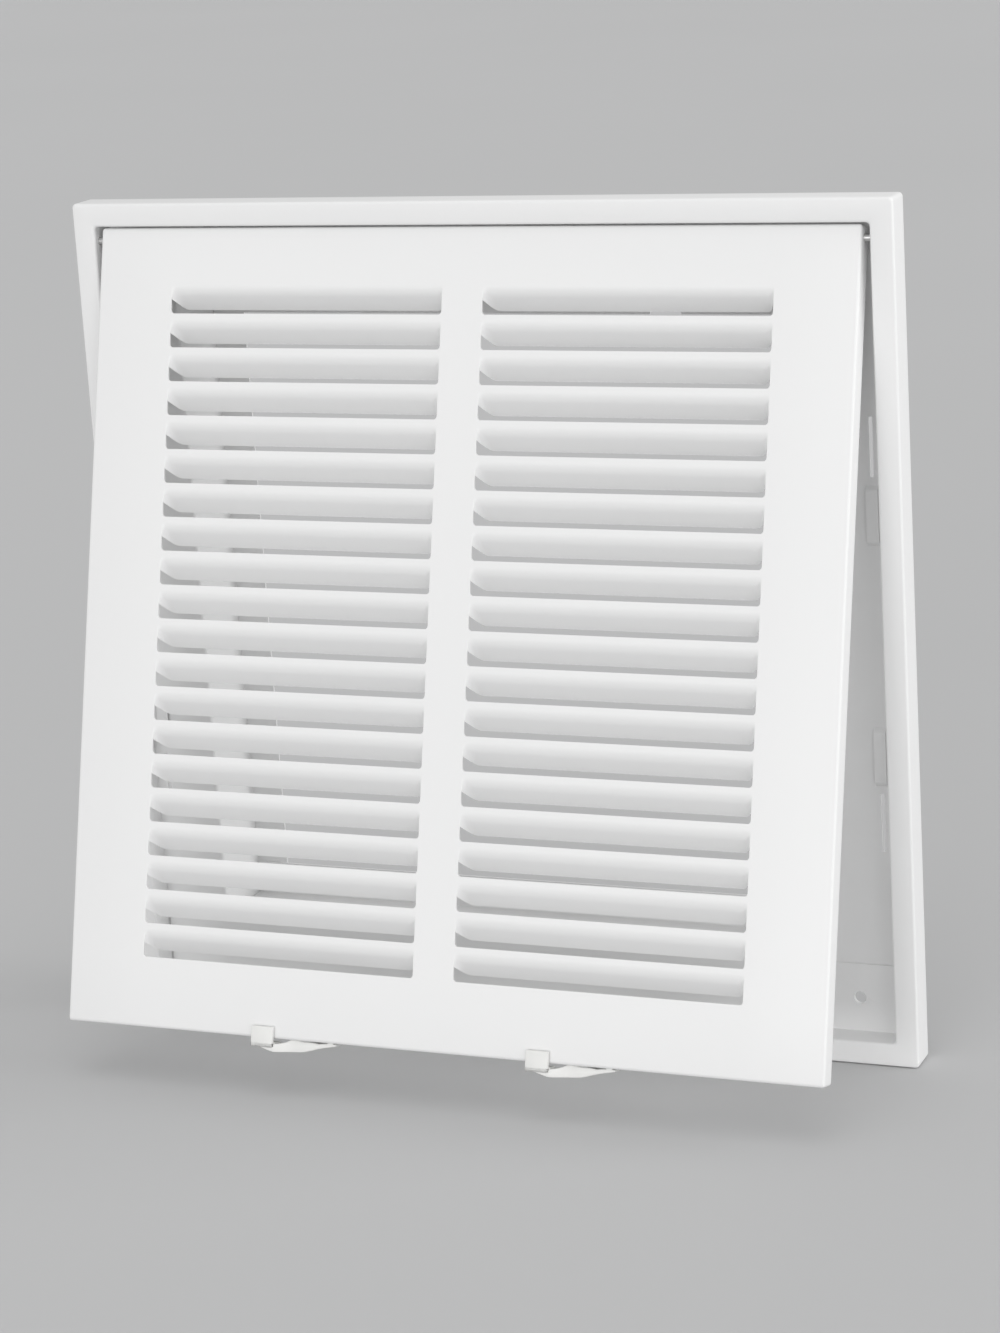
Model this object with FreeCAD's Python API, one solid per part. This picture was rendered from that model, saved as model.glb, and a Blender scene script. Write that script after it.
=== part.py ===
"""Return air grille: a folded steel frame with a neck, a louvred door hinged at its top, and two latches.

Millimetres. +X is the viewer's right, +Y goes into the wall and +Z is up. The origin is the centre of
the duct opening on the wall plane, where the backs of the ledges lie.
"""
import math
import os

import FreeCAD
import Part

# Frame
frame_size = 320.7
rim_width = 8.8
sheet = 0.8
bend_radius = 1.2
rim_depth = 12.8
ledge_width = 25.55
neck_depth = 30.0
stop_width = 13.0
mitre_gap = 0.06
butt_gap = 0.1

# Screw holes and marks in the frame
screw_hole_radius = 2.4
screw_from_side_wall = 16.05
screw_from_end_wall = 13.05
tab_length = 22.0
tab_width = 4.5
tab_rise = 1.6
tab_from_middle = 34.0
tab_from_wall = 3.0
slot_length = 22.0
slot_width = 1.4
slot_tab_gap = 3.0
notch_width = 12.0
notch_depth = 1.5
notch_from_middle = 61.0

# Door
door_sheet = 0.8
door_side_gap = 2.8
door_top_gap = 1.4
door_bottom_gap = 1.8
door_return = 8.0
door_edge_radius = 1.2
open_angle = 15.7

# Louvre fins
fin_pitch = 12.7
fin_land = 1.7
side_margin = 30.85
centre_bar = 16.0
bottom_margin = 26.4
top_margin = 19.0
fin_bend_radius = 6.0
fin_bend_angle = 50.0
fin_flat = 6.7
fin_arc_steps = 3
slit_height = 5.4
window_corner_cut = 0.8
fin_draw = 4.0
fin_draw_steps = 2

# Hinge pins
pin_radius = 1.5
pin_clearance = 0.05
pin_below_top = 4.4
pin_behind_face = 4.0
pin_head_radius = 3.0
pin_head_height = 1.2
pin_stick_out = 1.6

# Latches
latch_from_side = 77.6
latch_length = 33.3
latch_stand_off = 0.3
latch_tab_width = 8.8
latch_tab_above = 4.4
latch_tab_below = 3.2
latch_tab_thickness = 1.6
latch_web_thickness = 1.8
latch_arm_depth = 5.0
latch_arm_back = 1.2
latch_bow_below = 4.4
latch_bow_thickness = 3.0
latch_foot_width = 2.4
latch_foot_margin = 1.2
latch_head_width = 5.0
latch_head_height = 1.2
latch_clearance = 0.3
latch_notch_margin = 0.4

# Values worked out from the sizes above
inner_bend_radius = bend_radius - sheet
half_frame = frame_size / 2
half_opening = half_frame - rim_width
half_neck = half_opening - ledge_width
screw_x = half_opening - screw_from_side_wall
screw_z = half_opening - screw_from_end_wall
face_y = -rim_depth
half_door = half_opening - door_side_gap
door_top = half_opening - door_top_gap
door_bottom = -half_opening + door_bottom_gap
hinge_y = face_y + pin_behind_face
hinge_z = door_top - pin_below_top
fin_height = fin_pitch - fin_land
fin_length = half_door - side_margin - centre_bar / 2
fin_rows = int((door_top - door_bottom - bottom_margin - top_margin) / fin_pitch)


def vec(x, y, z):
    return FreeCAD.Vector(x, y, z)


def box(x0, x1, y0, y1, z0, z1):
    return Part.makeBox(x1 - x0, y1 - y0, z1 - z0, vec(x0, y0, z0))


def prism(outline, y0, y1):
    """Solid between two depths whose outline is given as (x, z) points."""
    points = [vec(x, y0, z) for x, z in outline]
    return Part.Face(Part.makePolygon(points + points[:1])).extrude(vec(0, y1 - y0, 0))


def cylinder(radius, length, base, direction):
    return Part.makeCylinder(radius, length, base, direction)


def folded_side(path, radius, offset):
    """One side of a folded sheet: straight runs and bend arcs beside the middle line."""
    edges = []
    start = None
    for index in range(1, len(path)):
        a, b = path[index - 1], path[index]
        along = (b - a).normalize()
        side = vec(-along.y, along.x, 0)
        if start is None:
            start = a + side * offset
        if index == len(path) - 1:
            edges.append(Part.makeLine(start, b + side * offset))
            break
        onward = (path[index + 1] - b).normalize()
        turn = along.cross(onward).z
        angle = math.acos(max(-1.0, min(1.0, along.dot(onward))))
        setback = radius * math.tan(angle / 2)
        inward = side if turn > 0 else side * -1
        centre = b - along * setback + inward * radius
        side_radius = radius - offset if turn > 0 else radius + offset
        outward = inward * -1
        arc_start = centre + outward * side_radius
        next_inward = vec(-onward.y, onward.x, 0) * (1 if turn > 0 else -1)
        arc_end = centre - next_inward * side_radius
        arc_middle = centre + (outward - next_inward).normalize() * side_radius
        edges.append(Part.makeLine(start, arc_start))
        edges.append(Part.Arc(arc_start, arc_middle, arc_end).toShape())
        start = arc_end
    return edges


def folded_section(path, thickness, radius):
    """Flat face of a folded sheet whose middle line is given as points in the XY plane."""
    left = folded_side(path, radius, thickness / 2)
    right = folded_side(path, radius, -thickness / 2)
    cap_start = Part.makeLine(left[0].Vertexes[0].Point, right[0].Vertexes[0].Point)
    cap_end = Part.makeLine(left[-1].Vertexes[-1].Point, right[-1].Vertexes[-1].Point)
    return Part.Face(Part.Wire(Part.__sortEdges__(left + [cap_end] + right + [cap_start])))


def rail_section(ledge_back, stop_back):
    """Rail section in the XY plane: X is the distance in from the frame's outer edge."""
    half = sheet / 2
    neck_in = half_frame - half_neck
    path = [
        vec(half, 0, 0),
        vec(half, face_y + half, 0),
        vec(rim_width - half, face_y + half, 0),
        vec(rim_width - half, ledge_back - half, 0),
        vec(neck_in + half, ledge_back - half, 0),
        vec(neck_in + half, stop_back - half, 0),
        vec(neck_in + sheet + stop_width, stop_back - half, 0),
    ]
    return folded_section(path, sheet, bend_radius - half)


def rail_outline(ledge_end, neck_end, stop_end):
    """Plan of one rail in (distance in, length) points: mitred rim, square ledge, shorter neck and stop.

    Ledge and stop end short of the bends that they would otherwise run into.
    """
    neck_in = half_frame - half_neck
    ledge_in = neck_in - inner_bend_radius - butt_gap
    side = [
        (-1.0, half_frame + 1.0 - mitre_gap),
        (rim_width, half_frame - rim_width - mitre_gap),
        (rim_width, ledge_end),
        (ledge_in, ledge_end),
        (ledge_in, neck_end),
        (neck_in + sheet, neck_end),
        (neck_in + sheet, stop_end),
        (half_frame, stop_end),
    ]
    return side + [(inward, -length) for inward, length in reversed(side)]


def make_rail(ledge_back, stop_back, ledge_end, neck_end):
    """Rail along Z with its outer edge at X = 0 and its inside towards +X."""
    section = rail_section(ledge_back, stop_back)
    section.translate(vec(0, 0, -half_frame))
    blank = section.extrude(vec(0, 0, frame_size))
    stop_end = half_neck - sheet - inner_bend_radius - butt_gap
    keep = prism(rail_outline(ledge_end, neck_end, stop_end), face_y - 1.0, neck_depth + 1.0)
    return blank.common(keep)


def side_rail(side):
    """Left (side -1) or right (side 1) rail, with its hinge hole, screw holes, lanced tabs and slots."""
    rail = make_rail(0.0, neck_depth, half_opening - butt_gap, half_neck - sheet - butt_gap)
    if side > 0:
        rail.rotate(vec(0, 0, 0), vec(0, 1, 0), 180)
    rail.translate(vec(side * half_frame, 0, 0))
    hole_start = vec(side * (half_opening + sheet + 0.5), hinge_y, hinge_z)
    cuts = [cylinder(pin_radius + pin_clearance, 2 * sheet + 1.0, hole_start, vec(-side, 0, 0))]
    tab_x = side * (half_opening - tab_from_wall - tab_width / 2)
    slot_low = tab_from_middle + tab_length + slot_tab_gap
    for end in (-1, 1):
        screw_place = vec(side * screw_x, -3 * sheet, end * screw_z)
        cuts.append(cylinder(screw_hole_radius, 4 * sheet, screw_place, vec(0, 1, 0)))
        low, high = sorted((end * slot_low, end * (slot_low + slot_length)))
        cuts.append(box(tab_x - slot_width / 2, tab_x + slot_width / 2, -2 * sheet, sheet, low, high))
    tabs = [lanced_tab(tab_x - tab_width / 2, end) for end in (-1, 1)]
    return rail.cut(cuts).fuse(tabs).removeSplitter()


def lanced_tab(tab_x, end):
    """Small raised strip on the ledge: two sloped ends and a flat top, as a lanced bridge has."""
    slope = tab_rise
    low = tab_from_middle
    high = tab_from_middle + tab_length
    front = -sheet - tab_rise
    outline = [(low, -sheet), (low + slope, front), (high - slope, front), (high, -sheet),
               (high - sheet, -sheet), (high - slope - sheet / 2, front + sheet),
               (low + slope + sheet / 2, front + sheet), (low + sheet, -sheet)]
    points = [vec(tab_x, y, end * z) for z, y in outline]
    return Part.Face(Part.makePolygon(points + points[:1])).extrude(vec(tab_width, 0, 0))


def cross_rail(sign):
    """Top (sign 1) or bottom (sign -1) rail: its ledge and stop lie one sheet in front of the side rails'."""
    ledge_end = half_opening - inner_bend_radius - butt_gap
    rail = make_rail(-sheet, neck_depth - sheet, ledge_end, half_neck)
    rail.rotate(vec(0, 0, 0), vec(0, 1, 0), sign * 90)
    rail.translate(vec(0, 0, sign * half_frame))
    holes = []
    for end in (-1, 1):
        place = vec(end * screw_x, -3 * sheet, sign * screw_z)
        holes.append(cylinder(screw_hole_radius, 4 * sheet, place, vec(0, 1, 0)))
    if sign > 0:
        edge = half_neck - sheet - stop_width
        holes.append(box(notch_from_middle - notch_width / 2, notch_from_middle + notch_width / 2,
                         neck_depth - 3 * sheet, neck_depth + sheet, edge - sheet, edge + notch_depth))
    else:
        holes += [latch_notch(left) for left in latch_places()]
    return rail.cut(holes)


def latch_notch(left):
    """Notch in the bottom rail's face and inner wall, which a latch's web and bow swing into."""
    margin = latch_notch_margin
    back = face_y + latch_arm_back + latch_arm_depth + margin
    low = door_bottom - latch_bow_below - margin
    return box(left - margin, left + latch_length + margin, face_y - 1.0, back, low, -half_opening + 1.0)


def flat_face(points):
    return Part.Face(Part.makePolygon(points + points[:1]))


def fin_profile(share):
    """Front line of a fin as (depth, height above its cut line) points: flat at share 0, full at share 1."""
    angle = math.radians(fin_bend_angle)
    full = [(0.0, fin_height)]
    for step in range(1, fin_arc_steps + 1):
        turned = angle * step / fin_arc_steps
        full.append((fin_bend_radius * (1 - math.cos(turned)), fin_height - fin_bend_radius * math.sin(turned)))
    depth, height = full[-1]
    full.append((depth + fin_flat * math.sin(angle), height - fin_flat * math.cos(angle)))
    lengths = [0.0]
    for a, b in zip(full, full[1:]):
        lengths.append(lengths[-1] + math.dist(a, b))
    flat = [(0.0, fin_height - (fin_height - slit_height) * length / lengths[-1]) for length in lengths]
    return [(a[0] + (b[0] - a[0]) * share, a[1] + (b[1] - a[1]) * share) for a, b in zip(flat, full)]


def fin_section(x, share):
    """Closed section of a fin at one place along it, as thick as the door's sheet."""
    front = fin_profile(share)
    back = []
    for index, (depth, height) in enumerate(front):
        before = front[max(index - 1, 0)]
        after = front[min(index + 1, len(front) - 1)]
        along = math.hypot(after[0] - before[0], after[1] - before[1])
        step_y = (before[1] - after[1]) / along * door_sheet
        step_z = (after[0] - before[0]) / along * door_sheet
        back.append((depth + step_y, height + step_z))
    back[0] = (door_sheet, fin_height)
    return [vec(x, depth, height) for depth, height in front + back[::-1]]


def make_fin():
    """One louvre fin from its left end at X = 0, drawn down from the face at both ends."""
    stations = []
    for step in range(fin_draw_steps + 1):
        share = math.sin(math.pi / 2 * step / fin_draw_steps)
        stations.append((fin_draw * step / fin_draw_steps, share))
    stations += [(fin_length - x, share) for x, share in reversed(stations)]
    sections = [fin_section(x, share) for x, share in stations]
    faces = [flat_face(sections[0]), flat_face(sections[-1])]
    for index, (near, far) in enumerate(zip(sections, sections[1:])):
        for corner in range(len(near)):
            a, b = near[corner - 1], near[corner]
            c, d = far[corner], far[corner - 1]
            if index == fin_draw_steps:
                faces.append(flat_face([a, b, c, d]))
            else:
                faces += [flat_face([a, b, c]), flat_face([a, c, d])]
    return Part.Solid(Part.Shell(faces))


def door_shell():
    """Folded tray of the door, closed position, with rounded front and corner edges."""
    outer = box(-half_door, half_door, face_y, face_y + door_return, door_bottom, door_top)
    back_y = face_y + door_return
    rounded = [edge for edge in outer.Edges if min(v.Y for v in edge.Vertexes) < back_y - 0.5]
    outer = outer.makeFillet(door_edge_radius, rounded)
    inner = box(-half_door + door_sheet, half_door - door_sheet, face_y + door_sheet, back_y + 1.0,
                door_bottom + door_sheet, door_top - door_sheet)
    rounded = [edge for edge in inner.Edges if min(v.Y for v in edge.Vertexes) < back_y]
    return outer.cut(inner.makeFillet(door_edge_radius - door_sheet, rounded))


def make_window():
    """Cutter for one louvre window, placed as its fin is, with its two lower corners cut off."""
    window = box(0, fin_length, -1.0, door_sheet + 1.0, 0, fin_height)
    lower = [edge for edge in window.Edges if edge.Length < door_sheet + 2.5
             and max(abs(v.Z) for v in edge.Vertexes) < 1e-6]
    return window.makeChamfer(window_corner_cut, lower)


def door_panel():
    """Door with its louvre windows, forty fins, hinge holes and latch slots."""
    window, fin = make_window(), make_fin()
    windows, fins = [], []
    for row in range(fin_rows):
        cut_line = door_bottom + bottom_margin + row * fin_pitch
        for left in (-centre_bar / 2 - fin_length, centre_bar / 2):
            place = vec(left, face_y, cut_line)
            windows.append(window.translated(place))
            fins.append(fin.translated(place))
    pin_start = vec(-half_door - 1.0, hinge_y, hinge_z)
    cuts = windows + [cylinder(pin_radius, 2 * half_door + 2.0, pin_start, vec(1, 0, 0))]
    for left in latch_places():
        cuts += latch_slots(left)
    return door_shell().cut(cuts).fuse(fins).removeSplitter()


def hinge_pin(side):
    """Pin with its head inside the door's return and its shank turning in the side rail's wall."""
    inside = vec(side * (half_door - door_sheet), hinge_y, hinge_z)
    outside = half_opening + sheet + pin_stick_out
    shank = cylinder(pin_radius, outside - abs(inside.x), inside, vec(side, 0, 0))
    head = cylinder(pin_head_radius, pin_head_height, inside, vec(-side, 0, 0))
    return shank.fuse(head).removeSplitter()


def latch_places():
    """Left ends of the two latches, symmetric about the door's middle."""
    return (-half_door + latch_from_side, half_door - latch_from_side - latch_length)


def latch_arm_outline():
    """Bowed arm seen from the front: (along, above the door's bottom edge) points, lens-thick in the middle."""
    web_top = -latch_tab_below + latch_web_thickness
    bow = -latch_bow_below
    lens_top = bow + latch_bow_thickness + latch_web_thickness
    end = -latch_clearance
    tip = end - latch_web_thickness / 2
    length = latch_length
    return [(latch_tab_width * 0.5, web_top), (latch_tab_width * 0.5, -latch_tab_below), (latch_tab_width, bow),
            (length * 0.5, bow + 0.2), (length * 0.62, bow + 0.5), (length * 0.8, bow + 2.2), (length, tip),
            (length, end), (length * 0.84, end), (length * 0.78, end - 0.5), (length * 0.68, end - 0.7),
            (length * 0.5, lens_top), (length * 0.42, lens_top - 0.1), (latch_tab_width, web_top - 0.6)]


def latch(left):
    """Plastic latch at the door's closed position: finger tab, web, bowed arm and hooked foot."""
    tab_front = face_y - latch_stand_off - latch_tab_thickness
    arm_front = face_y + latch_arm_back
    arm_end = arm_front + latch_arm_depth
    tab = box(left, left + latch_tab_width, tab_front, face_y - latch_stand_off,
              door_bottom - latch_tab_below, door_bottom + latch_tab_above)
    upright = [edge for edge in tab.Edges if abs(edge.Vertexes[0].X - edge.Vertexes[-1].X) < 1e-6
               and abs(edge.Vertexes[0].Z - edge.Vertexes[-1].Z) < 1e-6]
    tab = tab.makeFillet(0.7, upright)
    web = box(left, left + latch_tab_width, tab_front, arm_end, door_bottom - latch_tab_below,
              door_bottom - latch_tab_below + latch_web_thickness)
    arm = prism([(left + along, door_bottom + above) for along, above in latch_arm_outline()], arm_front, arm_end)
    foot_left = left + latch_length - latch_foot_margin - latch_foot_width
    head_low = door_bottom + door_sheet + latch_clearance
    foot = box(foot_left, foot_left + latch_foot_width, arm_front, arm_end,
               door_bottom - 0.6, head_low + latch_head_height)
    middle = foot_left + latch_foot_width / 2
    head = box(middle - latch_head_width / 2, middle + latch_head_width / 2, arm_front, arm_end,
               head_low, head_low + latch_head_height)
    return tab.fuse([web, arm, foot, head]).removeSplitter()


def latch_slots(left):
    """Slots in the door's bottom return: one that the bow rises into and one that holds the foot."""
    front = face_y + latch_arm_back - latch_clearance
    back = face_y + latch_arm_back + latch_arm_depth + latch_clearance
    foot_left = left + latch_length - latch_foot_margin - latch_foot_width
    low, high = door_bottom - 1.0, door_bottom + door_sheet + 0.5
    bow = box(left + latch_length * 0.33, left + latch_length * 0.66, front, back, low, high)
    foot = box(foot_left - latch_clearance, foot_left + latch_foot_width + latch_clearance, front, back, low, high)
    return [bow, foot]


def opened(shape):
    """The door's pieces turn about the hinge to the angle that the door stands open at."""
    turned = shape.copy()
    turned.rotate(vec(0, hinge_y, hinge_z), vec(1, 0, 0), -open_angle)
    return turned


left_place, right_place = latch_places()
nodes = {
    "frame_top_rail": cross_rail(1),
    "frame_bottom_rail": cross_rail(-1),
    "frame_left_rail": side_rail(-1),
    "frame_right_rail": side_rail(1),
    "door_panel": opened(door_panel()),
    "left_hinge_pin": opened(hinge_pin(-1)),
    "right_hinge_pin": opened(hinge_pin(1)),
    "left_latch": opened(latch(left_place)),
    "right_latch": opened(latch(right_place)),
}

os.makedirs("parts", exist_ok=True)
for name, shape in nodes.items():
    shape.exportStep("parts/" + name + ".step")
    bounds = shape.BoundBox
    print(name, "solids", len(shape.Solids), "valid", shape.isValid(), "volume", round(shape.Volume),
          "size", round(bounds.XLength, 2), round(bounds.YLength, 2), round(bounds.ZLength, 2))
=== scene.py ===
import math
import bmesh
import bpy
from mathutils import Matrix, Vector


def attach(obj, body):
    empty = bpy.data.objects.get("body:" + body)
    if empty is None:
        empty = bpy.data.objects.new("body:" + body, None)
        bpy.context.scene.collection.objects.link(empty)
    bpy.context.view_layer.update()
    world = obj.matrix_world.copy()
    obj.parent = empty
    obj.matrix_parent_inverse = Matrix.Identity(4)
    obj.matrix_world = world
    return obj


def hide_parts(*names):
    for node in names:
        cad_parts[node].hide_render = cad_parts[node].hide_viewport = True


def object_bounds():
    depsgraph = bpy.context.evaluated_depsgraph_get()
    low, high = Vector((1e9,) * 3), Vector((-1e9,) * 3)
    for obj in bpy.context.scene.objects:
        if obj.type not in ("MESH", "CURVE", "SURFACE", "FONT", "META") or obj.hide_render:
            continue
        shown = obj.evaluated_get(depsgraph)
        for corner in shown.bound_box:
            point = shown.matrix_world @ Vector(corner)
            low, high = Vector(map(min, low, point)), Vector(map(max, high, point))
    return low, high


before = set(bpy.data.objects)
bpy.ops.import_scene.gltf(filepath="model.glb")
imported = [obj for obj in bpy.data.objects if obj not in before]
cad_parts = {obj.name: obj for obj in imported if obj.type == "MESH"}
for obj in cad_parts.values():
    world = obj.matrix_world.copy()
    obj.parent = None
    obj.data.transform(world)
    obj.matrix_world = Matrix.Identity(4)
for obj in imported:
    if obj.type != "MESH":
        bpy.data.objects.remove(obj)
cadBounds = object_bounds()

mm = 0.001
touch = 0.00001  # two places closer than this are the same place
print("scene: CAD frame loaded")


# Handling of objects and selections

def deselectAll():
    if bpy.context.object and bpy.context.object.mode != "OBJECT":
        bpy.ops.object.mode_set(mode="OBJECT")
    bpy.ops.object.select_all(action="DESELECT")


def takeUp(piece):
    deselectAll()
    piece.select_set(True)
    bpy.context.view_layer.objects.active = piece


def edit(piece):
    takeUp(piece)
    bpy.ops.object.mode_set(mode="EDIT")


def pick(piece, kind, test):
    bpy.ops.mesh.select_mode(type=kind)
    bpy.ops.mesh.select_all(action="DESELECT")
    mesh = bmesh.from_edit_mesh(piece.data)
    parts = {"VERT": mesh.verts, "EDGE": mesh.edges, "FACE": mesh.faces}[kind]
    found = 0
    for part in parts:
        if test(part):
            part.select_set(True)
            found += 1
    mesh.select_flush_mode()
    bmesh.update_edit_mesh(piece.data)
    return found


def pickAll():
    bpy.ops.mesh.select_mode(type="FACE")
    bpy.ops.mesh.select_all(action="SELECT")


def cutAt(place, direction):
    bpy.ops.mesh.bisect(plane_co=place, plane_no=direction, use_fill=False)


def finishEdit():
    bpy.ops.object.mode_set(mode="OBJECT")


def modify(piece, kind, **settings):
    takeUp(piece)
    modifier = piece.modifiers.new(kind.title(), kind)
    for name, value in settings.items():
        setattr(modifier, name, value)
    bpy.ops.object.modifier_apply(modifier=modifier.name)


def applyPlace(piece):
    takeUp(piece)
    bpy.ops.object.transform_apply(location=True, rotation=True, scale=True)


def joinPieces(pieces, name):
    deselectAll()
    for piece in pieces:
        piece.select_set(True)
    bpy.context.view_layer.objects.active = pieces[0]
    bpy.ops.object.join()
    pieces[0].name = name
    return pieces[0]


def standingPlane(name, left, right, low, high, depth):
    deselectAll()
    middle = ((left + right) / 2 * mm, depth * mm, (low + high) / 2 * mm)
    bpy.ops.mesh.primitive_plane_add(size=1, location=middle, rotation=(math.radians(90), 0, 0))
    piece = bpy.context.object
    piece.name = name
    piece.scale = ((right - left) * mm, (high - low) * mm, 1)
    applyPlace(piece)
    return piece


def block(name, low, high):
    deselectAll()
    middle = [(a + b) / 2 * mm for a, b in zip(low, high)]
    bpy.ops.mesh.primitive_cube_add(size=1, location=middle)
    piece = bpy.context.object
    piece.name = name
    piece.scale = [(b - a) * mm for a, b in zip(low, high)]
    applyPlace(piece)
    return piece


def drill(name, place, radius, length, sides):
    deselectAll()
    bpy.ops.mesh.primitive_cylinder_add(vertices=sides, radius=radius * mm, depth=length * mm,
                                        location=[value * mm for value in place],
                                        rotation=(math.radians(90), 0, 0))
    piece = bpy.context.object
    piece.name = name
    applyPlace(piece)
    return piece


def cutOut(piece, cutter):
    modify(piece, "BOOLEAN", operation="DIFFERENCE", object=cutter, solver="EXACT")


def throwAway(piece):
    takeUp(piece)
    bpy.ops.object.delete()


def smooth(piece, degrees):
    takeUp(piece)
    bpy.ops.object.shade_smooth_by_angle(angle=math.radians(degrees))


# Shader expressions

class Wire:
    def __init__(self, finish, socket):
        self.finish = finish
        self.socket = socket

    def __add__(self, other):
        return self.finish.maths("ADD", self, other)

    def __mul__(self, other):
        return self.finish.maths("MULTIPLY", self, other)

    __radd__ = __add__
    __rmul__ = __mul__


class Finish:
    def __init__(self, name):
        self.material = bpy.data.materials.new(name)
        self.material.use_nodes = True
        self.tree = self.material.node_tree
        self.shader = self.tree.nodes["Principled BSDF"]
        self.place = self.node("ShaderNodeTexCoord", output="Object")

    def feed(self, socket, value):
        if isinstance(value, Wire):
            self.tree.links.new(value.socket, socket)
        else:
            socket.default_value = value

    def node(self, kind, output=0, settings=None, sockets=None):
        node = self.tree.nodes.new(kind)
        for name, value in (settings or {}).items():
            setattr(node, name, value)
        for name, value in (sockets or {}).items():
            self.feed(node.inputs[name], value)
        return Wire(self, node.outputs[output])

    def maths(self, operation, first, second):
        return self.node("ShaderNodeMath", settings={"operation": operation}, sockets={0: first, 1: second})

    def noise(self, scale, detail):
        return self.node("ShaderNodeTexNoise", output="Fac",
                         sockets={"Vector": self.place, "Scale": scale, "Detail": detail})

    def blend(self, share, first, second):
        return self.node("ShaderNodeMix", output=2, settings={"data_type": "RGBA"},
                         sockets={0: share, 6: first, 7: second})

    def bump(self, height, strength, distance):
        return self.node("ShaderNodeBump", sockets={"Height": height, "Strength": strength, "Distance": distance})

    def give(self, **values):
        for name, value in values.items():
            self.feed(self.shader.inputs[name.replace("_", " ")], value)
        return self.material


# Finishes

# Scales are noise cells per metre. Each pair gives how much the first and the second noise add.

powderCoat = {
    "white": (0.865, 0.865, 0.863, 1.0),
    "shade": (0.84, 0.841, 0.841, 1.0),
    "cloudScale": 7.0,
    "cloudDetail": 3.0,
    "peelScale": 850.0,
    "peelDetail": 1.5,
    "grainScale": 2550.0,
    "grainDetail": 2.0,
    "colourShares": (0.8, 0.2),  # cloud, grain
    "roughness": 0.35,
    "roughnessShares": (0.06, 0.04),  # cloud, grain
    "heightShares": (0.75, 0.25),  # peel, grain
    "bumpStrength": 0.55,
    "bumpDepth": 0.00002,
    "specular": 0.45,
}


def makePowderCoat():
    finish = Finish("whitePowderCoat")
    cloud = finish.noise(powderCoat["cloudScale"], powderCoat["cloudDetail"])
    peel = finish.noise(powderCoat["peelScale"], powderCoat["peelDetail"])
    grain = finish.noise(powderCoat["grainScale"], powderCoat["grainDetail"])
    cloudy, grainy = powderCoat["colourShares"]
    colour = finish.blend(cloud * cloudy + grain * grainy, powderCoat["white"], powderCoat["shade"])
    cloudy, grainy = powderCoat["roughnessShares"]
    rough = powderCoat["roughness"] + cloud * cloudy + grain * grainy
    peeled, grainy = powderCoat["heightShares"]
    surface = finish.bump(peel * peeled + grain * grainy, powderCoat["bumpStrength"], powderCoat["bumpDepth"])
    return finish.give(Base_Color=colour, Roughness=rough, Normal=surface,
                       Specular_IOR_Level=powderCoat["specular"])


latchPlastic = {
    "white": (0.84, 0.84, 0.82, 1.0),
    "shade": (0.80, 0.80, 0.785, 1.0),
    "flowScale": 160.0,
    "grainScale": 2600.0,
    "detail": 2.0,
    "roughness": 0.4,
    "roughnessShares": (0.05, 0.05),  # flow, grain
    "bumpStrength": 0.35,
    "bumpDepth": 0.000012,
    "specular": 0.4,
}


def makeLatchPlastic():
    finish = Finish("whiteLatchPlastic")
    flow = finish.noise(latchPlastic["flowScale"], latchPlastic["detail"])
    grain = finish.noise(latchPlastic["grainScale"], latchPlastic["detail"])
    colour = finish.blend(flow, latchPlastic["white"], latchPlastic["shade"])
    flowing, grainy = latchPlastic["roughnessShares"]
    rough = latchPlastic["roughness"] + flow * flowing + grain * grainy
    surface = finish.bump(grain, latchPlastic["bumpStrength"], latchPlastic["bumpDepth"])
    return finish.give(Base_Color=colour, Roughness=rough, Normal=surface,
                       Specular_IOR_Level=latchPlastic["specular"])


pinSteel = {
    "bright": (0.66, 0.66, 0.65, 1.0),
    "dull": (0.52, 0.52, 0.52, 1.0),
    "blotchScale": 420.0,
    "blotchDetail": 3.0,
    "grainScale": 3000.0,
    "grainDetail": 2.0,
    "roughness": 0.3,
    "roughnessShares": (0.08, 0.06),  # blotch, grain
    "bumpStrength": 0.3,
    "bumpDepth": 0.00001,
}


def makePinSteel():
    finish = Finish("zincedPinSteel")
    blotch = finish.noise(pinSteel["blotchScale"], pinSteel["blotchDetail"])
    grain = finish.noise(pinSteel["grainScale"], pinSteel["grainDetail"])
    colour = finish.blend(blotch, pinSteel["bright"], pinSteel["dull"])
    blotchy, grainy = pinSteel["roughnessShares"]
    rough = pinSteel["roughness"] + blotch * blotchy + grain * grainy
    surface = finish.bump(grain, pinSteel["bumpStrength"], pinSteel["bumpDepth"])
    return finish.give(Base_Color=colour, Metallic=1.0, Roughness=rough, Normal=surface)


coat = makePowderCoat()
plastic = makeLatchPlastic()
steel = makePinSteel()
print("scene: finishes made")


def coatWith(piece, material):
    piece.data.materials.clear()
    piece.data.materials.append(material)


# Latches: sizes that the door's slots share

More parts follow.
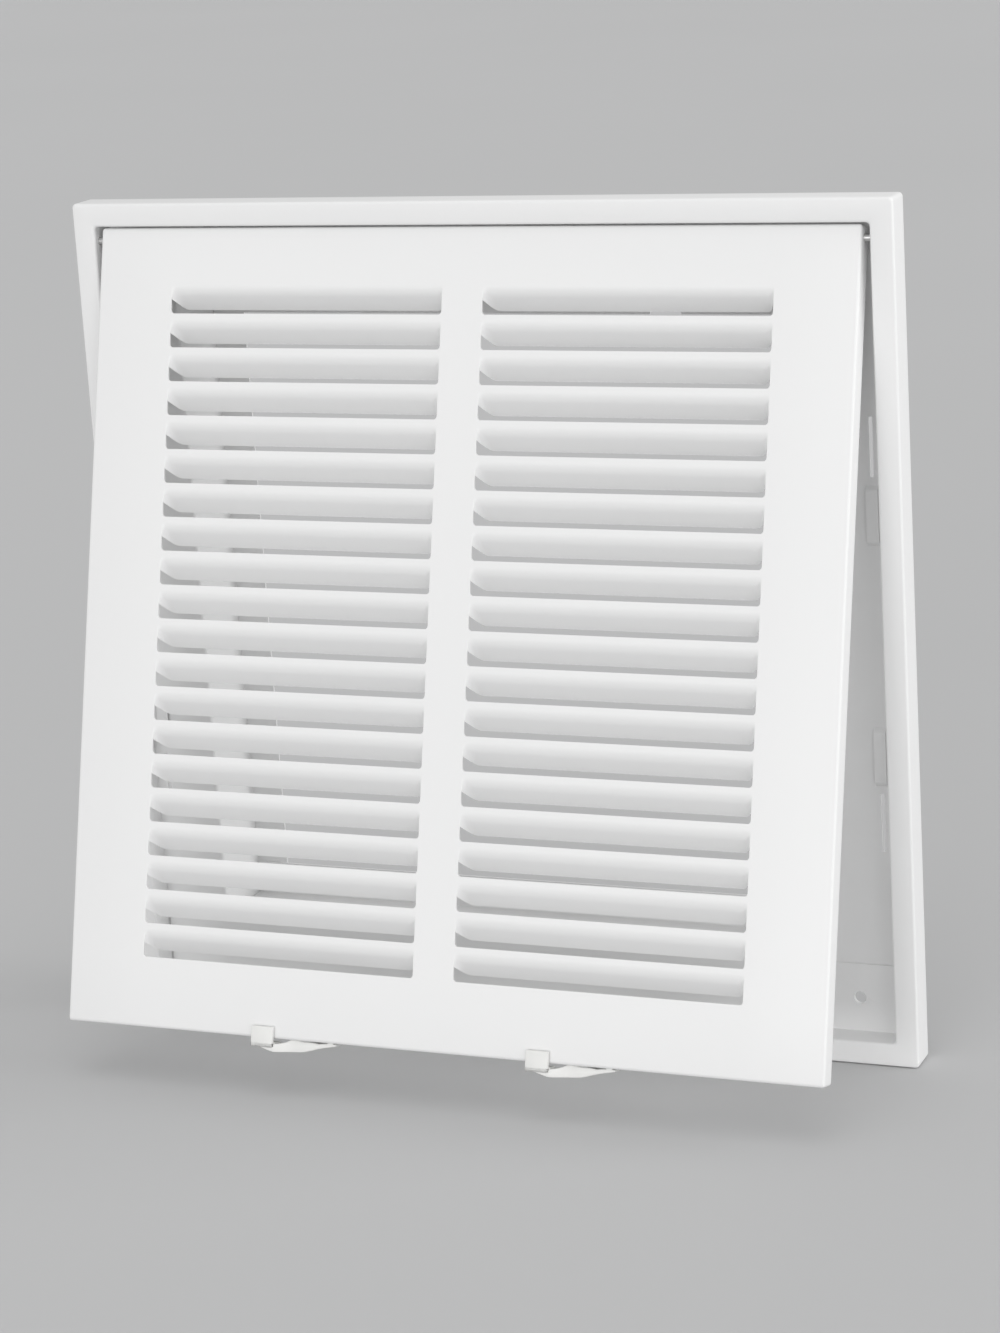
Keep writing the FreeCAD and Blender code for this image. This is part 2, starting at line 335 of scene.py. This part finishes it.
latch = {
    "names": ("left_latch", "right_latch"),
    "places": (-71.15, 37.85),
    "length": 33.3,
    "standOff": 0.3,
    "tabWidth": 8.8,
    "tabAbove": 4.4,
    "tabBelow": 3.2,
    "tabThickness": 1.6,
    "webThickness": 1.8,
    "armBack": 1.2,
    "armDepth": 5.0,
    "clearance": 0.3,
    "footMargin": 1.2,
    "footWidth": 2.4,
    "footBelow": 0.6,
    "headWidth": 5.0,
    "headHeight": 1.2,
    "edgeRadius": 0.35,
    "edgeSegments": 3,
    "sharpAngle": 50,
    "smoothAngle": 40,
    "bowBlank": 1.0,  # half the height of the strip that the bow is drawn from
    # along the latch, the bow's lower and upper side from the door's bottom edge, its front from the door's face
    "bow": ((4.0, -3.3, -1.6, -1.8), (6.4, -4.1, -1.8, -1.6), (8.8, -4.8, -1.95, -1.1), (10.4, -4.8, -1.75, -0.5),
            (11.9, -4.75, -1.45, 0.1), (13.6, -4.65, -0.85, 0.7), (15.0, -4.6, -0.1, 1.1), (16.5, -4.5, 0.05, 1.2),
            (18.0, -4.4, -0.1, 1.2), (19.3, -4.3, -0.45, 1.2), (20.6, -4.15, -0.5, 1.2), (22.1, -3.75, -0.42, 1.2),
            (23.4, -3.35, -0.4, 1.2), (24.6, -3.0, -0.5, 1.2), (26.4, -2.5, -0.75, 1.2), (28.0, -2.1, -0.45, 1.2),
            (29.6, -1.8, -0.3, 1.2), (31.4, -1.45, -0.3, 1.2), (33.3, -1.1, -0.3, 1.2)),
}

# Slots in the door's bottom fold for a latch's bow and foot

latchSlot = {
    "bowShares": (0.33, 0.66),  # of the latch's length
    "below": 1.0,
    "above": 0.5,
}

# Door: one stamped sheet with forty louvres and a folded edge

door = {
    "width": 297.5,
    "height": 299.9,
    "top": 150.15,
    "face": -12.8,
    "edgeDepth": 8.0,
    "sheet": 0.8,
    "foldRadius": 1.2,
    "foldSegments": 4,
    "openAngle": 15.7,
    "hingeY": -8.8,
    "hingeZ": 145.75,
    "bottomMargin": 26.4,
    "smoothAngle": 35,
}

louvre = {
    "rows": 20,
    "pitch": 12.7,
    "windowHeight": 11.0,
    "length": 109.9,
    "centreBar": 16.0,
    "bendRadius": 6.0,
    "bendAngle": 50.0,
    "flat": 6.7,
    "bendSteps": 6,
    "slitHeight": 5.4,
    "drawLength": 4.0,
    "drawSteps": 6,
    "supportGap": 0.25,
    "cornerRadius": 1.2,
    "cornerSteps": 4,
    "cornerReach": 2.0,  # how far from a window's end its corner is cut
}


def louvreLevels():
    angle = math.radians(louvre["bendAngle"])
    radius = louvre["bendRadius"]
    top = louvre["windowHeight"]
    steps = louvre["bendSteps"]
    bent = [(0.0, top)]
    for step in range(1, steps + 1):
        turned = angle * step / steps
        bent.append((radius * (1 - math.cos(turned)), top - radius * math.sin(turned)))
    depth, height = bent[-1]
    bent.append((depth + louvre["flat"] * math.sin(angle), height - louvre["flat"] * math.cos(angle)))
    run = [0.0]
    for a, b in zip(bent, bent[1:]):
        run.append(run[-1] + math.dist(a, b))
    straight = [top - (top - louvre["slitHeight"]) * length / run[-1] for length in run]
    return bent, straight


def louvreStations():
    shares = {}
    near = louvre["centreBar"] / 2
    far = near + louvre["length"]
    for step in range(louvre["drawSteps"] + 1):
        inward = louvre["drawLength"] * step / louvre["drawSteps"]
        share = math.sin(math.pi / 2 * step / louvre["drawSteps"])
        for place in (near + inward, far - inward):
            shares[round(place, 4)] = share
            shares[round(-place, 4)] = share
    for place in (near - louvre["supportGap"], far + louvre["supportGap"]):
        shares[place] = 0
        shares[-place] = 0
    return shares


def doorStrip(name, low, high, stations):
    half = door["width"] / 2
    strip = standingPlane(name, -half, half, low, high, door["face"])
    edit(strip)
    for place in stations:
        pickAll()
        cutAt((place * mm, 0, 0), (1, 0, 0))
    return strip


def roundWindowCorners(row, firstCut):
    radius = louvre["cornerRadius"]
    near = louvre["centreBar"] / 2
    slitTop = (firstCut + louvre["slitHeight"]) * mm - touch
    lines = []
    for edge, inward in ((near, 1), (near + louvre["length"], -1), (-near, -1), (-near - louvre["length"], 1)):
        centre = edge + inward * radius
        corner = []
        for step in range(louvre["cornerSteps"]):
            turned = math.pi / 2 * (step + 0.5) / louvre["cornerSteps"]
            reach = radius * math.cos(math.pi / 4 / louvre["cornerSteps"])
            across = centre - inward * reach * math.cos(turned)
            height = firstCut + radius - reach * math.sin(turned)
            place = Vector((across, door["face"], height)) * mm
            corner.append((place, Vector((inward * math.cos(turned), 0, math.sin(turned)))))
        lines.append((edge, corner))
        for place, normal in corner:
            pick(row, "FACE", lambda face: face.calc_center_median().z < slitTop
                 and abs(face.calc_center_median().x - edge * mm) < louvre["cornerReach"] * mm)
            cutAt(place, normal)
    return lines


def inWindow(spot, firstCut, lines):
    near = louvre["centreBar"] / 2
    if not near * mm < abs(spot.x) < (near + louvre["length"]) * mm:
        return False
    if spot.z > (firstCut + louvre["slitHeight"]) * mm - touch:
        return False
    for edge, corner in lines:
        if abs(spot.x - edge * mm) < louvre["cornerRadius"] * mm:
            if any((spot - place).dot(normal) < 0 for place, normal in corner):
                return False
    return True


def makeDoorSheet():
    bent, straight = louvreLevels()
    shares = louvreStations()
    bottom = door["top"] - door["height"]
    firstCut = bottom + door["bottomMargin"]
    lastCut = firstCut + louvre["rows"] * louvre["pitch"]
    row = doorStrip("louvreRow", firstCut, firstCut + louvre["pitch"], shares)
    for height in straight:
        pickAll()
        cutAt((0, 0, (firstCut + height) * mm), (0, 0, 1))
    lines = roundWindowCorners(row, firstCut)
    pick(row, "FACE", lambda face: inWindow(face.calc_center_median(), firstCut, lines))
    bpy.ops.mesh.delete(type="FACE")
    for share in sorted(set(shares.values())):
        if share == 0:
            continue
        places = [place * mm for place, value in shares.items() if value == share]
        for (depth, height), flatHeight in list(zip(bent, straight))[1:]:
            level = (firstCut + flatHeight) * mm
            pick(row, "VERT", lambda v: abs(v.co.z - level) < touch and abs(v.co.y - door["face"] * mm) < touch
                 and any(abs(v.co.x - place) < touch for place in places))
            bpy.ops.transform.translate(value=(0, depth * share * mm, (height - flatHeight) * share * mm))
    finishEdit()
    modify(row, "ARRAY", count=louvre["rows"], use_relative_offset=False, use_constant_offset=True,
           constant_offset_displace=(0, 0, louvre["pitch"] * mm), use_merge_vertices=True, merge_threshold=touch)
    lower = doorStrip("lowerMargin", bottom, firstCut, shares)
    finishEdit()
    upper = doorStrip("upperMargin", lastCut, door["top"], shares)
    finishEdit()
    sheet = joinPieces([row, lower, upper], "louvredDoor")
    edit(sheet)
    pickAll()
    bpy.ops.mesh.remove_doubles(threshold=touch)
    foldEdges(sheet, bottom)
    finishEdit()
    return sheet


def foldEdges(sheet, bottom):
    half = door["width"] / 2 * mm
    low, high = bottom * mm, door["top"] * mm
    back = (door["face"] + door["edgeDepth"]) * mm

    def onRim(co):
        return abs(abs(co.x) - half) < touch or abs(co.z - low) < touch or abs(co.z - high) < touch

    pick(sheet, "EDGE", lambda edge: edge.is_boundary and all(onRim(v.co) for v in edge.verts))
    bpy.ops.mesh.extrude_edges_move(TRANSFORM_OT_translate={"value": (0, door["edgeDepth"] * mm, 0)})
    pick(sheet, "EDGE", lambda edge: all(onRim(v.co) for v in edge.verts) and (
        all(abs(v.co.y - door["face"] * mm) < touch for v in edge.verts)
        and sum(abs(face.normal.y) < 0.5 for face in edge.link_faces) == 1
        or all(abs(abs(v.co.x) - half) < touch and (abs(v.co.z - low) < touch or abs(v.co.z - high) < touch)
               for v in edge.verts)))
    bpy.ops.mesh.bevel(offset_type="OFFSET", offset=door["foldRadius"] * mm, segments=door["foldSegments"],
                       profile=0.5, affect="EDGES", clamp_overlap=False)
    pickAll()
    bpy.ops.mesh.remove_doubles(threshold=touch / 2)
    bpy.ops.mesh.normals_make_consistent(inside=False)


def openDoor(piece):
    hinge = Vector((0, door["hingeY"] * mm, door["hingeZ"] * mm))
    swing = Matrix.Rotation(-math.radians(door["openAngle"]), 4, "X")
    piece.matrix_world = Matrix.Translation(hinge) @ swing @ Matrix.Translation(-hinge) @ piece.matrix_world
    applyPlace(piece)


def makeLatchSlots():
    cutters = []
    bottom = door["top"] - door["height"]
    low, high = bottom - latchSlot["below"], bottom + door["sheet"] + latchSlot["above"]
    front = door["face"] + latch["armBack"] - latch["clearance"]
    back = door["face"] + latch["armBack"] + latch["armDepth"] + latch["clearance"]
    start, end = (latch["length"] * share for share in latchSlot["bowShares"])
    for place in latch["places"]:
        foot = place + latch["length"] - latch["footMargin"] - latch["footWidth"]
        for left, right in ((place + start, place + end),
                            (foot - latch["clearance"], foot + latch["footWidth"] + latch["clearance"])):
            cutters.append(block("slotCutter", (left, front, low), (right, back, high)))
    return joinPieces(cutters, "slotCutter")


doorSheet = makeDoorSheet()
modify(doorSheet, "SOLIDIFY", thickness=door["sheet"] * mm, offset=-1.0, use_even_offset=True)
slotCutter = makeLatchSlots()
cutOut(doorSheet, slotCutter)
throwAway(slotCutter)
openDoor(doorSheet)
smooth(doorSheet, door["smoothAngle"])
coatWith(doorSheet, coat)
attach(doorSheet, "door")
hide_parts("door_panel")
print("scene: door made,", len(doorSheet.data.polygons), "faces")

# Frame: folded rim, and four ledge strips with neck and stop

rim = {
    "size": 320.7,
    "width": 8.8,
    "depth": 12.8,
    "cornerRadius": 1.6,
    "cornerSegments": 4,
    "foldRadius": 1.2,
    "foldSegments": 5,
    "sheet": 0.8,
    "smoothAngle": 35,
}

ledge = {
    "inner": 125.2,
    "outer": 151.55,
    # a strip's front, and half the length of its ledge, its neck and its stop
    "sideStrip": (-0.8, 151.45, 125.1, 125.1),
    "crossStrip": (-1.6, 151.05, 126.0, 124.7),
    "neckDepth": 30.0,
    "stopWidth": 13.0,
    "stopRadius": 0.4,
    "stopSegments": 3,
    "screwX": 135.5,
    "screwY": -0.8,
    "screwZ": 138.5,
    "screwRadius": 2.4,
    "screwSides": 40,
    "drillLength": 6.0,
    "tabX": 146.3,
    "tabWidth": 4.5,
    "tabStart": 34.0,
    "tabLength": 22.0,
    "tabRise": 1.6,
    "tabRadius": 0.5,
    "tabSegments": 3,
    "slotStart": 59.0,
    "slotLength": 22.0,
    "slotWidth": 1.4,
    "slotFront": -2.0,
    "slotBack": 1.0,
}

# Notch in the stop at the top, and notches that the latches swing into

stopNotch = {
    "middle": 61.0,
    "width": 12.0,
    "depth": 1.5,
    "inside": 1.0,
    "front": 27.0,
    "back": 31.0,
}

latchNotch = {
    "margin": 0.4,
    "front": -13.8,
    "back": -6.2,
    "below": 5.4,
    "inside": 1.0,
}


def makeRim():
    half = rim["size"] / 2
    piece = standingPlane("rimSheet", -half, half, -half, half, 0)
    edit(piece)
    pick(piece, "VERT", lambda v: True)
    bpy.ops.mesh.bevel(offset=rim["cornerRadius"] * mm, segments=rim["cornerSegments"], affect="VERTICES")
    pickAll()
    bpy.ops.mesh.delete(type="ONLY_FACE")
    pick(piece, "EDGE", lambda edge: True)
    bpy.ops.mesh.extrude_edges_move(TRANSFORM_OT_translate={"value": (0, -rim["depth"] * mm, 0)})
    bpy.ops.mesh.extrude_edges_move(TRANSFORM_OT_translate={"value": (0, 0, 0)})
    share = (half - rim["width"]) / half
    bpy.ops.transform.resize(value=(share, 1, share), center_override=(0, -rim["depth"] * mm, 0))
    bpy.ops.mesh.extrude_edges_move(TRANSFORM_OT_translate={"value": (0, (rim["depth"] - rim["sheet"]) * mm, 0)})
    pickAll()
    bpy.ops.mesh.normals_make_consistent(inside=False)
    mesh = bmesh.from_edit_mesh(piece.data)
    if any(face.normal.y > 0.9 for face in mesh.faces):
        bpy.ops.mesh.flip_normals()
    pick(piece, "EDGE", lambda edge: all(abs(v.co.y + rim["depth"] * mm) < touch for v in edge.verts)
         and any(abs(face.normal.y) < 0.5 for face in edge.link_faces))
    bpy.ops.mesh.bevel(offset_type="OFFSET", offset=rim["foldRadius"] * mm, segments=rim["foldSegments"],
                       affect="EDGES", clamp_overlap=False)
    finishEdit()
    modify(piece, "SOLIDIFY", thickness=rim["sheet"] * mm, offset=-1.0, use_even_offset=True)
    return piece


def makeLedgeStrip(name, front, ledgeEnd, neckEnd, stopEnd):
    inner = ledge["inner"]
    piece = standingPlane(name, inner, ledge["outer"], -ledgeEnd, ledgeEnd, front)
    edit(piece)
    for end in (-neckEnd, neckEnd):
        pickAll()
        cutAt((0, 0, end * mm), (0, 0, 1))
    stop = front + ledge["neckDepth"]
    pick(piece, "EDGE", lambda edge: all(
        abs(v.co.x - inner * mm) < touch and abs(v.co.z) < neckEnd * mm + touch for v in edge.verts))
    bpy.ops.mesh.extrude_edges_move(TRANSFORM_OT_translate={"value": (0, ledge["neckDepth"] * mm, 0)})
    for end in (-stopEnd, stopEnd):
        pick(piece, "FACE", lambda face: face.calc_center_median().y > front * mm + touch)
        cutAt((0, 0, end * mm), (0, 0, 1))
    pick(piece, "EDGE", lambda edge: all(
        abs(v.co.y - stop * mm) < touch and abs(v.co.z) < stopEnd * mm + touch for v in edge.verts))
    bpy.ops.mesh.extrude_edges_move(TRANSFORM_OT_translate={"value": (-ledge["stopWidth"] * mm, 0, 0)})
    pickAll()
    bpy.ops.mesh.normals_make_consistent(inside=False)
    mesh = bmesh.from_edit_mesh(piece.data)
    if any(face.normal.y > 0.9 for face in mesh.faces):
        bpy.ops.mesh.flip_normals()
    for depth, radius, segments in ((front, rim["foldRadius"], rim["foldSegments"]),
                                    (stop, ledge["stopRadius"], ledge["stopSegments"])):
        pick(piece, "EDGE", lambda edge: len(edge.link_faces) == 2 and all(
            abs(v.co.y - depth * mm) < touch and abs(v.co.x - inner * mm) < touch for v in edge.verts))
        bpy.ops.mesh.bevel(offset_type="OFFSET", offset=radius * mm, segments=segments,
                           affect="EDGES", clamp_overlap=False)
    finishEdit()
    modify(piece, "SOLIDIFY", thickness=rim["sheet"] * mm, offset=-1.0, use_even_offset=True)
    return piece


def turnAboutY(piece, degrees):
    piece.matrix_world = Matrix.Rotation(math.radians(degrees), 4, "Y") @ piece.matrix_world
    applyPlace(piece)


def makeTab(side, end):
    low, high = ledge["tabStart"], ledge["tabStart"] + ledge["tabLength"]
    left = side * ledge["tabX"] - ledge["tabWidth"] / 2
    low, high = sorted((end * low, end * high))
    piece = standingPlane("lancedTab", left, left + ledge["tabWidth"], low, high, -rim["sheet"])
    edit(piece)
    for height in (low + ledge["tabRise"], high - ledge["tabRise"]):
        pickAll()
        cutAt((0, 0, height * mm), (0, 0, 1))
    pick(piece, "VERT", lambda v: (low + 1) * mm < v.co.z < (high - 1) * mm)
    bpy.ops.transform.translate(value=(0, -ledge["tabRise"] * mm, 0))
    pick(piece, "EDGE", lambda edge: len(edge.link_faces) == 2)
    bpy.ops.mesh.bevel(offset=ledge["tabRadius"] * mm, segments=ledge["tabSegments"], affect="EDGES")
    finishEdit()
    modify(piece, "SOLIDIFY", thickness=rim["sheet"] * mm, offset=-1.0, use_even_offset=True)
    return piece


def makeFrameCutter():
    cutters = []
    for side in (-1, 1):
        for end in (-1, 1):
            place = (side * ledge["screwX"], ledge["screwY"], end * ledge["screwZ"])
            cutters.append(drill("hole", place, ledge["screwRadius"], ledge["drillLength"], ledge["screwSides"]))
            low, high = sorted((end * ledge["slotStart"], end * (ledge["slotStart"] + ledge["slotLength"])))
            left = side * ledge["tabX"] - ledge["slotWidth"] / 2
            right = side * ledge["tabX"] + ledge["slotWidth"] / 2
            cutters.append(block("slot", (left, ledge["slotFront"], low), (right, ledge["slotBack"], high)))
    edge = ledge["inner"] - ledge["stopWidth"]
    left, right = stopNotch["middle"] - stopNotch["width"] / 2, stopNotch["middle"] + stopNotch["width"] / 2
    cutters.append(block("notch", (left, stopNotch["front"], edge - stopNotch["inside"]),
                         (right, stopNotch["back"], edge + stopNotch["depth"])))
    low = door["top"] - door["height"] - latchNotch["below"]
    high = latchNotch["inside"] - ledge["outer"]
    for place in latch["places"]:
        left, right = place - latchNotch["margin"], place + latch["length"] + latchNotch["margin"]
        cutters.append(block("notch", (left, latchNotch["front"], low), (right, latchNotch["back"], high)))
    return joinPieces(cutters, "frameCutter")


def makeFrame():
    sides = [makeLedgeStrip("sideLedge", *ledge["sideStrip"]) for number in range(2)]
    turnAboutY(sides[0], 180)
    crosses = [makeLedgeStrip("crossLedge", *ledge["crossStrip"]) for number in range(2)]
    turnAboutY(crosses[0], 90)
    turnAboutY(crosses[1], -90)
    rimSheet = makeRim()
    cutter = makeFrameCutter()
    for piece in sides + crosses + [rimSheet]:
        cutOut(piece, cutter)
    throwAway(cutter)
    tabs = [makeTab(side, end) for side in (-1, 1) for end in (-1, 1)]
    return joinPieces([rimSheet] + sides + crosses + tabs, "foldedFrame")


frameSheet = makeFrame()
smooth(frameSheet, rim["smoothAngle"])
coatWith(frameSheet, coat)
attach(frameSheet, "frame")
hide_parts("frame_top_rail", "frame_bottom_rail", "frame_left_rail", "frame_right_rail")
print("scene: frame made,", len(frameSheet.data.polygons), "faces")


# Latches: finger tab, web, bowed arm and hooked foot

def softenEdges(piece):
    edit(piece)
    sharp = math.radians(latch["sharpAngle"])
    pick(piece, "EDGE", lambda edge: len(edge.link_faces) == 2 and edge.calc_face_angle() > sharp)
    bpy.ops.mesh.bevel(offset=latch["edgeRadius"] * mm, segments=latch["edgeSegments"],
                       affect="EDGES", clamp_overlap=True)
    finishEdit()
    return piece


def makeBow(left, bottom):
    stations = latch["bow"]
    front = door["face"] + latch["armBack"]
    blank = latch["bowBlank"]
    piece = block("bow", (left + stations[0][0], front, bottom - blank),
                  (left + stations[-1][0], front + latch["armDepth"], bottom + blank))
    edit(piece)
    for station in stations[1:-1]:
        pickAll()
        cutAt(((left + station[0]) * mm, 0, 0), (1, 0, 0))
    for along, low, high, forward in stations:
        place = (left + along) * mm
        pick(piece, "VERT", lambda v: abs(v.co.x - place) < touch and abs(v.co.y - front * mm) < touch)
        bpy.ops.transform.translate(value=(0, (door["face"] + forward - front) * mm, 0))
        for level, height in ((-blank, low), (blank, high)):
            side = (bottom + level) * mm
            pick(piece, "VERT", lambda v: abs(v.co.x - place) < touch and abs(v.co.z - side) < touch)
            bpy.ops.transform.translate(value=(0, 0, (height - level) * mm))
    finishEdit()
    return piece


def makeLatch(name, left):
    bottom = door["top"] - door["height"]
    tabBack = door["face"] - latch["standOff"]
    tabFront = tabBack - latch["tabThickness"]
    armFront = door["face"] + latch["armBack"]
    armEnd = armFront + latch["armDepth"]
    right = left + latch["tabWidth"]
    tabLow = bottom - latch["tabBelow"]
    foot = left + latch["length"] - latch["footMargin"] - latch["footWidth"]
    head = foot + latch["footWidth"] / 2
    headLow = bottom + door["sheet"] + latch["clearance"]
    headHigh = headLow + latch["headHeight"]
    parts = [
        block("tab", (left, tabFront, tabLow), (right, tabBack, bottom + latch["tabAbove"])),
        block("web", (left, tabFront, tabLow), (right, armEnd, tabLow + latch["webThickness"])),
        makeBow(left, bottom),
        block("foot", (foot, armFront, bottom - latch["footBelow"]),
              (foot + latch["footWidth"], armEnd, headHigh)),
        block("head", (head - latch["headWidth"] / 2, armFront, headLow),
              (head + latch["headWidth"] / 2, armEnd, headHigh)),
    ]
    piece = joinPieces([softenEdges(part) for part in parts], name)
    openDoor(piece)
    smooth(piece, latch["smoothAngle"])
    coatWith(piece, plastic)
    return piece


for nodeName, place in zip(latch["names"], latch["places"]):
    piece = makeLatch(nodeName.split("_")[0] + "BowLatch", place)
    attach(piece, nodeName)
    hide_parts(nodeName)
print("scene: latches made")

# CAD pieces that keep their shape

for nodeName in ("left_hinge_pin", "right_hinge_pin"):
    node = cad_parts[nodeName]
    node.data.materials.clear()
    node.data.materials.append(steel)

# Floor, light and camera

studio = {
    "floorSize": 40.0,
    "floorDrop": 0.2,
    "floorColour": (0.56, 0.562, 0.565, 1.0),
    "floorShade": 0.97,
    "floorScale": 1.5,
    "floorDetail": 2.0,
    "floorRoughness": 0.8,
    "floorSpecular": 0.2,
    "backColour": (0.54, 0.542, 0.545, 1.0),
    "worldColour": (1.0, 1.0, 1.0, 1.0),
    "worldStrength": 0.63,
    # name, strength, softness, turn
    "suns": (
        ("frontKey", 1.14, 32.0, (86.0, 0.0, -4.0)),
        ("frontRight", 0.5, 32.0, (86.0, 0.0, 42.0)),
        ("sideFill", 1.2, 40.0, (72.0, 0.0, 100.0)),
        ("topFill", 0.29, 40.0, (14.0, 0.0, 8.0)),
    ),
}


def makeFloor():
    deselectAll()
    bpy.ops.mesh.primitive_plane_add(size=studio["floorSize"],
                                     location=(0, 0, cadBounds[0][2] - studio["floorDrop"] * mm))
    floor = bpy.context.object
    floor.name = "paleFloor"
    applyPlace(floor)
    finish = Finish("palePaper")
    cloud = finish.noise(studio["floorScale"], studio["floorDetail"])
    shade = tuple(value * studio["floorShade"] for value in studio["floorColour"][:3]) + (1.0,)
    floor.data.materials.append(finish.give(
        Base_Color=finish.blend(cloud, studio["floorColour"], shade),
        Roughness=studio["floorRoughness"], Specular_IOR_Level=studio["floorSpecular"]))


def makeLight():
    world = bpy.data.worlds.new("softStudio")
    world.use_nodes = True
    bpy.context.scene.world = world
    nodes, links = world.node_tree.nodes, world.node_tree.links
    light = nodes["Background"]
    light.inputs["Color"].default_value = studio["worldColour"]
    light.inputs["Strength"].default_value = studio["worldStrength"]
    seen = nodes.new("ShaderNodeBackground")
    seen.inputs["Color"].default_value = studio["backColour"]
    path = nodes.new("ShaderNodeLightPath")
    mix = nodes.new("ShaderNodeMixShader")
    straight = nodes.new("ShaderNodeMath")
    mirrored = nodes.new("ShaderNodeMath")
    mirrored.use_clamp = True
    links.new(path.outputs["Is Camera Ray"], straight.inputs[0])
    links.new(path.outputs["Is Glossy Ray"], straight.inputs[1])
    links.new(straight.outputs["Value"], mirrored.inputs[0])
    links.new(path.outputs["Is Transmission Ray"], mirrored.inputs[1])
    links.new(mirrored.outputs["Value"], mix.inputs["Fac"])
    links.new(light.outputs["Background"], mix.inputs[1])
    links.new(seen.outputs["Background"], mix.inputs[2])
    links.new(mix.outputs["Shader"], nodes["World Output"].inputs["Surface"])
    for name, strength, softness, turn in studio["suns"]:
        deselectAll()
        bpy.ops.object.light_add(type="SUN", rotation=[math.radians(angle) for angle in turn])
        sun = bpy.context.object
        sun.name = name
        sun.data.energy = strength
        sun.data.angle = math.radians(softness)


camera = {
    "place": (486.7, -1168.7, 318.1),
    "turn": (75.135, 3.402, 21.781),
    "lens": 93.71,
    "sensor": 36.0,
    "near": 0.01,
    "far": 100.0,
}


def makeCamera():
    deselectAll()
    bpy.ops.object.camera_add(location=[value * mm for value in camera["place"]],
                              rotation=[math.radians(angle) for angle in camera["turn"]])
    view = bpy.context.object
    view.name = "photoView"
    view.data.sensor_fit = "VERTICAL"
    view.data.sensor_height = camera["sensor"]
    view.data.lens = camera["lens"]
    view.data.clip_start = camera["near"]
    view.data.clip_end = camera["far"]
    bpy.context.scene.camera = view


makeFloor()
makeLight()
makeCamera()
bpy.context.scene.view_settings.view_transform = "Standard"
print("scene: floor, light and camera made")

deselectAll()
